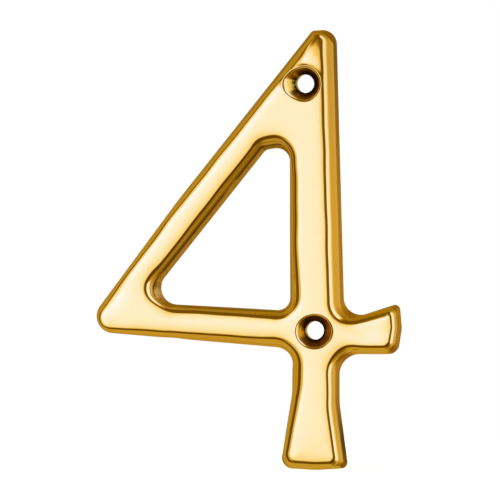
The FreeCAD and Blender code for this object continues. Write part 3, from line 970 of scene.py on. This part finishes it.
@dataclass
class Numeral:
    """The numeral 4: stem, diagonal, bar, foot and short arm round an opening, with two holes.

    grid is the spacing of the points over the face, clearance how near they may come to its edge,
    and bore_rows the rows down each bore.
    """

    section: Section = Section()
    tone_and_shade: ToneAndShade = ToneAndShade()
    foot_length: float = 24.0
    arm_length: float = 14.8
    grid: float = 0.42
    clearance: float = 0.09
    bore_rows: int = 6
    holes: tuple[ScrewHole, ...] = (
        ScrewHole(place=(0.0, 0.0)),
        ScrewHole((-1.69, 42.6), rim_radius=2.88, oval=-0.06, shift=(0.0, -0.05), drawn_out=0.8,
                  facets=0.12, lip=0.08, lip_towards=110.0, dark_towards=-125.0, dark_width=0.7),
    )
    waves: tuple[Wave, ...] = (
        Wave((1.2, 53.2), 140.0, 4.0, 3.4, -0.6),
        Wave((-24.0, 3.4), 175.0, 6.0, 1.6, -0.03),
        Wave((13.5, -1.0), 90.0, 3.0, 2.0, -0.03),
        Wave((0.0, -22.5), 0.0, 5.0, 3.0, -0.05),
        Wave((9.0, 0.0), 0.0, 4.0, 2.2, -0.15),
        Wave((-35.5, 7.2), 0.0, 3.5, 3.5, -0.16),
    )

    def outside(self) -> Outline:
        """Lays out the outer loop, from the right side of the stem round to the top of the arm.

        Returns:
            The outline.
        """
        foot = (0.0, -self.foot_length)
        arm = (self.arm_length, 0.0)
        sides = (
            Side(UP + 1.56, 4.93, 1.86, 0.82, 2.5, 1.2),
            Side(LEFT + 4.0, 51.71, 0.65, 0.6, 0.8, 1.1),
            Side(LEFT + 51.46, 32.83, 0.95, 0.75, 90.0, 90.0),
            Side(LEFT + 53.43, 32.72, 0.8, 0.75, 2.95, 2.4),
            Side(RIGHT - 4.83, 3.5, 1.15, 0.75, 3.0, 4.2, face_turn=1.35),
            Side(DOWN, 4.2, 0.85, 1.6, 14.0, 14.0),
            Side(DOWN - 9.2, 6.24, 0.43, 1.3, 1.9, 2.4, datum=foot, face_turn=-1.24),
            Side(RIGHT - 3.5, self.foot_length + 0.1, 0.5, 0.95, 18.0, 18.0),
            Side(RIGHT + 3.5, self.foot_length + 0.1, 0.5, 0.95, 1.1, 1.8),
            Side(UP + 7.7, 5.54, 1.25, 0.85, 14.0, 14.0, datum=foot),
            Side(UP, 4.05, 1.17, 0.85, 3.5, 4.2),
            Side(RIGHT, 4.12, 0.6, 1.05, 2.0, 2.0),
            Side(UP - 8.3, self.arm_length - 0.16, 0.8, 0.85, 3.0, 3.0),
            Side(UP + 5.0, self.arm_length + 0.04, 0.8, 0.85, 0.95, 1.2),
            Side(LEFT + 18.0, 4.6, 0.5, 1.25, 2.97, 3.2, datum=arm),
        )
        swells = (
            Swell((6.3, 1.1), 2.4, -0.4),
            Swell((-4.3, -5.0), 1.7, 0.1, low=1.0),
            Swell((-24.6, -1.3), 1.6, 0.1, low=1.0),
            Swell((-33.5, 8.5), 4.5, -0.2),
            Swell((-2.8, 46.9), 2.3, 0.0, roll=0.5),
            Swell((5.2, -2.8), 2.0, 0.35),
        )
        return Outline(sides, Edge.OUTSIDE, land_inset=0.6, swells=swells)

    def opening(self) -> Outline:
        """Lays out the loop of the opening, from its stem side round to the bar.

        Returns:
            The outline.
        """
        sides = (
            Side(UP, 4.6, 0.74, 1.2, 2.3, 3.2, facing=-1),
            Side(LEFT + 9.0, 32.17, 1.0, 1.4, 1.2, 2.5),
            Side(LEFT + 51.46, 26.25, 1.25, 0.8, 2.9, 4.0),
            Side(RIGHT - 3.05, 3.16, 0.56, 0.95, 2.1, 2.9, facing=-1),
        )
        swells = (
            Swell((-4.6, 6.4), 5.2, 0.5, low=0.1),
            Swell((-4.6, 29.5), 2.0, -0.25),
            Swell((-28.6, 7.0), 2.3, 0.6, roll=0.7),
            Swell((-24.0, 14.5), 3.6, -0.2),
        )
        return Outline(sides, Edge.OPENING, land_inset=0.9, swells=swells)

    def _sink(self, places: np.ndarray) -> tuple[np.ndarray, np.ndarray]:
        """Lowers places on the front into the waves of the face and the countersinks.

        Waves and lips act by the square of the share of the thickness at which a place lies, so
        that the back stays flat.

        Args:
            places: Array whose last axis is (x, z, height).

        Returns:
            The places, and how far each was lowered by a countersink.
        """
        points = places[..., :2]
        height = places[..., 2]
        share = (height / self.section.thickness) ** 2
        for wave in self.waves:
            height = height + wave.height(points) * share
        for hole in self.holes:
            height = height + hole.raised(points) * share
        before = height
        for hole in self.holes:
            cone = hole.height(points, self.section.thickness)
            height = smooth_lesser(height, cone, hole.soften)
        return np.concatenate([points, height[..., None]], axis=-1), before - height

    def _lay(self, shell: Shell, points: np.ndarray, edges: list[np.ndarray]) -> np.ndarray:
        """Puts points of the plane on the crowned face.

        Args:
            shell: The mesh in making.
            points: The points.
            edges: Inner ends of the face's rounded edges, one loop an outline.

        Returns:
            Indices of the new vertices.
        """
        distance = np.minimum.reduce([segment_distance(points, loop) for loop in edges])
        height = self.section.crowned(distance)
        places, depth = self._sink(np.concatenate([points, height[:, None]], axis=1))
        hollow = self.tone_and_shade.sunk(depth)
        # Painted shade next to the bores.
        dark = sum(hole.bore_shade(points) for hole in self.holes)
        # The face's painted highlight fades towards the tip.
        warmth = self.tone_and_shade.at_tip(points)
        return shell.add(
            places, warmth=warmth, skin=0.0, back=0.0, hollow=hollow, dark=dark, crease=0.0
        )

    def _face_points(self, outer: np.ndarray, inner: np.ndarray) -> np.ndarray:
        """Spreads points over the face: a triangular grid, and circles round the holes.

        Args:
            outer: Loop that bounds the face.
            inner: Loop round the opening.

        Returns:
            Points in the face and clear of both loops.
        """
        low, high = outer.min(0), outer.max(0)
        across = np.arange(low[0], high[0], self.grid)
        up = np.arange(low[1], high[1], self.grid * math.sqrt(3) / 2)
        x, z = np.meshgrid(across, up)
        x = x + (np.arange(len(up)) % 2)[:, None] * self.grid / 2
        points = np.stack([x.ravel(), z.ravel()], axis=1)
        for hole in self.holes:
            clear = hole.rim_radius + hole.reach + self.grid * 0.4
            points = points[hole.polar(points)[0] > clear]
        points = np.concatenate([points] + [hole.rings_beyond() for hole in self.holes])
        points = points[inside(points, outer) & ~inside(points, inner)]
        gap = np.minimum(segment_distance(points, outer), segment_distance(points, inner))
        return points[gap > self.clearance]

    def _bore(
        self, shell: Shell, hole: ScrewHole, rim: np.ndarray
    ) -> tuple[np.ndarray, np.ndarray]:
        """Lines a bore with rings, evenly spaced from its rim down to the back.

        Args:
            shell: The mesh in making.
            hole: The hole.
            rim: Indices of the ring at the top of the bore.

        Returns:
            Indices and places in the plane of the ring at the back.
        """
        top = np.concatenate(shell.places)[rim, 2]
        shares = np.linspace(1.0, 0.0, self.bore_rows + 1)[1:]
        circle = hole.circle(hole.radius)
        round_it = np.broadcast_to(circle, (len(shares), *circle.shape))
        rows = np.concatenate([round_it, (shares[:, None] * top[None])[..., None]], axis=-1)
        back = np.zeros(rows.shape[:2])
        back[-1] = 1.0
        front = 1.0 - back
        # Painted shade next to the bores.
        dark = hole.bore_shade(rows[..., :2]) * front
        made = shell.add(rows, warmth=1.0, skin=0.5, back=back, hollow=front, dark=dark, crease=0.0)
        shell.band(np.concatenate([rim[None], made]), turned=False)
        return made[-1], circle

    def build(self) -> bpy.types.Object:
        """Makes the mesh.

        Returns:
            The numeral's object.
        """
        shell = Shell()
        fronts, backs, edges = [], [], []
        for outline in (self.outside(), self.opening()):
            rows, share = self.section.carry(outline)
            edges.append(rows[-1 - len(self.section.apron_steps), :, :2])
            rows, depth = self._sink(rows)
            outward = outline.ring(Level.FACE).normals
            marks = self.tone_and_shade.along(
                rows, outward, share, outline.edge, self.section.land_depth
            )
            indices = shell.add(rows, hollow=self.tone_and_shade.sunk(depth), **marks)
            shell.band(indices, turned=outline.edge is Edge.OPENING)
            fronts.append((indices[-1], rows[-1, :, :2]))
            backs.append((indices[0], rows[0, :, :2]))

        inner = self._face_points(fronts[0][1], fronts[1][1])
        circles = [hole.circle(hole.radius) for hole in self.holes]
        rims = [(self._lay(shell, circle, edges), circle) for circle in circles]
        loops = fronts + rims
        shell.sheet(loops + [(self._lay(shell, inner, edges), inner)], len(loops), turned=False)
        backs += [self._bore(shell, hole, rim) for hole, (rim, _) in zip(self.holes, rims)]
        shell.sheet(backs, len(backs), turned=True)
        return shell.mesh("numeral_four_polished")

    def dress(self, made: bpy.types.Object, finish: PolishedBrass) -> None:
        """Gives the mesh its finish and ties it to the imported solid.

        Args:
            made: The numeral's object.
            finish: Its finish.
        """
        made.data.materials.append(finish.material())
        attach(made, "root")
        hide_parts("numeral_four")


@dataclass(frozen=True)
class Bearing:
    """The way in which the metal looks, as shader values.

    x and z are its parts to the right and upwards, and away is its angle from the front of the
    face. across and up are the shares of its tilt to the right and upwards, from -1 to 1, and the
    last four are 1 well to their side and 0 well away from it.
    """

    x: Channel
    z: Channel
    away: Channel
    across: Channel
    up: Channel
    to_right: Channel
    to_left: Channel
    above: Channel
    below: Channel


@dataclass(frozen=True)
class Studio:
    """Pale floor, white surroundings for the camera, and the soft light that the metal mirrors.

    The camera stands yaw degrees to the right of the numeral's face, far away behind a long lens.
    tones are the colours that the light takes from dark to bright, at half their strength.
    """

    yaw: float = 5.5
    distance: float = 3000.0
    view_width: float = 86.46
    view_centre: Point = (-11.54, 13.885)
    sensor: float = 36.0
    floor_gap: float = 0.05
    floor_half_metres: float = 0.5
    floor_colour: Colour = (0.62, 0.56, 0.45)
    floor_white: float = 0.85
    lamp_metres: float = 0.6
    lamp_watts: float = 6.0
    lamp_place: Colour = (-0.25, -0.7, 1.0)
    strength: float = 2.0
    tones: tuple[tuple[float, Colour], ...] = (
        (0.0, (0.045, 0.02, 0.0005)),
        (0.2, (0.1, 0.052, 0.001)),
        (0.4, (0.19, 0.118, 0.004)),
        (0.55, (0.295, 0.2, 0.028)),
        (0.7, (0.5, 0.41, 0.2)),
        (0.82, (0.51, 0.51, 0.45)),
        (0.91, (0.53, 0.555, 0.65)),
        (0.96, (0.535, 0.6, 0.86)),
        (1.0, (0.56, 0.635, 1.08)),
    )

    def camera(self) -> None:
        """Makes the camera, level, with a lens that spans the view's width at the numeral."""
        data = bpy.data.cameras.new("camera")
        data.sensor_width = self.sensor
        data.lens = self.sensor * self.distance / self.view_width
        made = bpy.data.objects.new("camera", data)
        bpy.context.scene.collection.objects.link(made)
        yaw = math.radians(self.yaw)
        x, z = self.view_centre
        place = (x + self.distance * math.sin(yaw), -self.distance * math.cos(yaw), z)
        made.location = Vector(place) * METRES
        made.rotation_euler = (math.radians(90.0), 0.0, yaw)
        bpy.context.scene.camera = made

    def floor(self, lowest: float) -> None:
        """Makes the pale floor just under the foot, white but for the shadow on it.

        Args:
            lowest: Height of the foot, in metres.
        """
        half, height = self.floor_half_metres, lowest - self.floor_gap * METRES
        places = [(x * half, y * half, height) for x, y in ((-1, -1), (1, -1), (1, 1), (-1, 1))]
        mesh = bpy.data.meshes.new("floor")
        mesh.from_pydata(places, [], [(0, 1, 2, 3)])
        made = bpy.data.objects.new("floor", mesh)
        bpy.context.scene.collection.objects.link(made)
        material = bpy.data.materials.new("pale_floor")
        g = Graph(material)
        seen = g.value("ShaderNodeLightPath", {}, {}, "Is Camera Ray")
        matte = g.value("ShaderNodeBsdfDiffuse", {}, {"Color": (*self.floor_colour, 1.0)})
        white = {"Color": (1.0, 1.0, 1.0, 1.0), "Strength": self.floor_white}
        glow = g.value("ShaderNodeEmission", {}, white)
        lit = g.value("ShaderNodeAddShader", {}, {0: matte, 1: glow})
        mixed = g.value("ShaderNodeMixShader", {}, {0: seen, 1: matte, 2: lit})
        g.node("ShaderNodeOutputMaterial", {}, {"Surface": mixed})
        mesh.materials.append(material)
        made.visible_glossy = False
        made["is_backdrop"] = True

    def _bearing(self, g: Graph) -> Bearing:
        """Works out the way in which the metal looks.

        Args:
            g: The world's nodes.

        Returns:
            Its parts, angles and sides.
        """
        way = g.value("ShaderNodeTexCoord", {}, {}, "Generated")
        split = g.node("ShaderNodeSeparateXYZ", {}, {0: way})
        x, y, z = (Channel(g, output) for output in split.outputs)
        away = g.maths("ARCCOSINE", y * -1.0) * (180.0 / math.pi)
        tilt = g.maths("SQRT", g.maths("MAXIMUM", x * x + z * z, 1e-6))
        across, up = x / tilt, z / tilt
        to_right, to_left = g.step(across, 0.35, 0.8), g.step(across, -0.35, -0.8)
        above, below = g.step(up, 0.3, 0.8), g.step(up, -0.3, -0.8)
        return Bearing(x, z, away, across, up, to_right, to_left, above, below)

    def _card(self, g: Graph, way: Bearing) -> Channel:
        """Brightness of the white card in front of the face.

        It grows brighter to the left and above, by the lean of the way from the one in which the
        flat face looks, and falls off again high up and at the far right.

        Args:
            g: The world's nodes.
            way: The way in which the metal looks.

        Returns:
            Brightness from 0 to 1.
        """
        lean = 1.6 * way.z - way.x - math.sin(math.radians(self.yaw))
        card = 0.71 + 0.2 * g.step(lean, -0.3, 0.04) + 0.1 * g.step(lean, 0.02, 0.36)
        return g.maths("MAXIMUM", card - 0.3 * g.step(way.z + 0.5 * way.x, 0.0, 0.18), 0.68)

    def _room(self, g: Graph, way: Bearing) -> Channel:
        """Brightness of the studio round the card.

        Beside the card is a dark gap, which ends at an angle from the front that depends on the
        side, and beyond it the room has a mid tone. A low light glows at the left, a tall soft
        light stands at the right and upper right, and the lower right corner is dim.

        Args:
            g: The world's nodes.
            way: The way in which the metal looks.

        Returns:
            Brightness from 0 to 1.
        """
        away, above, below, to_left = way.away, way.above, way.below, way.to_left
        high_left = to_left * above
        upper_right = way.to_right * (1.0 - below)
        gap_end = 45.0 + 25.0 * above + 22.0 * to_left - 45.0 * high_left
        gap = 0.08 + 0.1 * upper_right + 0.08 * above + 0.14 * high_left
        mid = 0.5 + 0.08 * way.to_right - 0.1 * above * (1.0 - to_left) + 0.05 * below
        mid = mid + upper_right * g.step(away, 130.0, 90.0) * 0.12
        room = gap + (mid - gap) * g.step(away - gap_end, -4.0, 16.0)
        glow = to_left * g.window(away, 20.0, 36.0, 10.0) * 0.52
        dim = 0.3 - 0.26 * g.window(away, 102.0, 120.0, 6.0)
        corner = g.step(way.across, 0.05, 0.6) * below * dim
        room = g.maths("MAXIMUM", room + glow - corner, 0.04)
        tall = g.window(away, 48.0, 84.0, 8.0)
        tall = g.step(way.across, 0.2, 0.6) * g.step(way.up, -0.55, -0.3) * tall
        return room + tall * (0.93 - room)

    def surroundings(self) -> None:
        """Makes the world: white for the camera, and a soft studio for the metal to mirror.

        The metal is mirrored by no plain white as the camera sees it, because the dark lines along
        its edges are the gap beside the card. The card reaches further to the left and above.
        """
        world = bpy.data.worlds.new("studio")
        bpy.context.scene.world = world
        g = Graph(world)
        way = self._bearing(g)
        room = self._room(g, way)
        reach = 13.5 - 4.0 * way.across + 1.5 * way.up
        in_card = g.step(way.away - reach, 5.0, -4.0)
        level = room + in_card * (self._card(g, way) - room)
        white = 1.0 / self.strength
        seen = g.value("ShaderNodeLightPath", {}, {}, "Is Camera Ray")
        colour = g.blend(seen, g.ramp(level, self.tones), (white, white, white))
        inputs = {"Color": colour, "Strength": self.strength}
        light = g.value("ShaderNodeBackground", {}, inputs)
        g.node("ShaderNodeOutputWorld", {}, {"Surface": light})

    def lamp(self) -> None:
        """Makes a broad soft lamp above and in front, for the floor and its shadow."""
        data = bpy.data.lights.new("soft_lamp", "AREA")
        data.shape = "DISK"
        data.size = self.lamp_metres
        data.energy = self.lamp_watts
        made = bpy.data.objects.new("soft_lamp", data)
        bpy.context.scene.collection.objects.link(made)
        made.location = self.lamp_place
        made.rotation_euler = (-made.location).to_track_quat("-Z", "Y").to_euler()
        made.visible_glossy = False


def corners(bounds: tuple) -> list[list[float]]:
    """Two corners of a box as plain lists."""
    return [[float(value) for value in corner] for corner in bounds]


def main() -> None:
    """Builds the studio and the numeral."""
    solid = corners(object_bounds())
    studio = Studio()
    studio.camera()
    numeral = Numeral()
    made = numeral.build()
    numeral.dress(made, PolishedBrass())
    LOG.info("numeral: %d vertices, %d faces", len(made.data.vertices), len(made.data.polygons))
    studio.floor(solid[0][2])
    studio.surroundings()
    studio.lamp()
    LOG.info("studio: camera, floor, world and lamp")
    bpy.context.scene.view_settings.view_transform = "Standard"


if __name__ == "__main__":
    logging.basicConfig(level=logging.INFO)
    main()
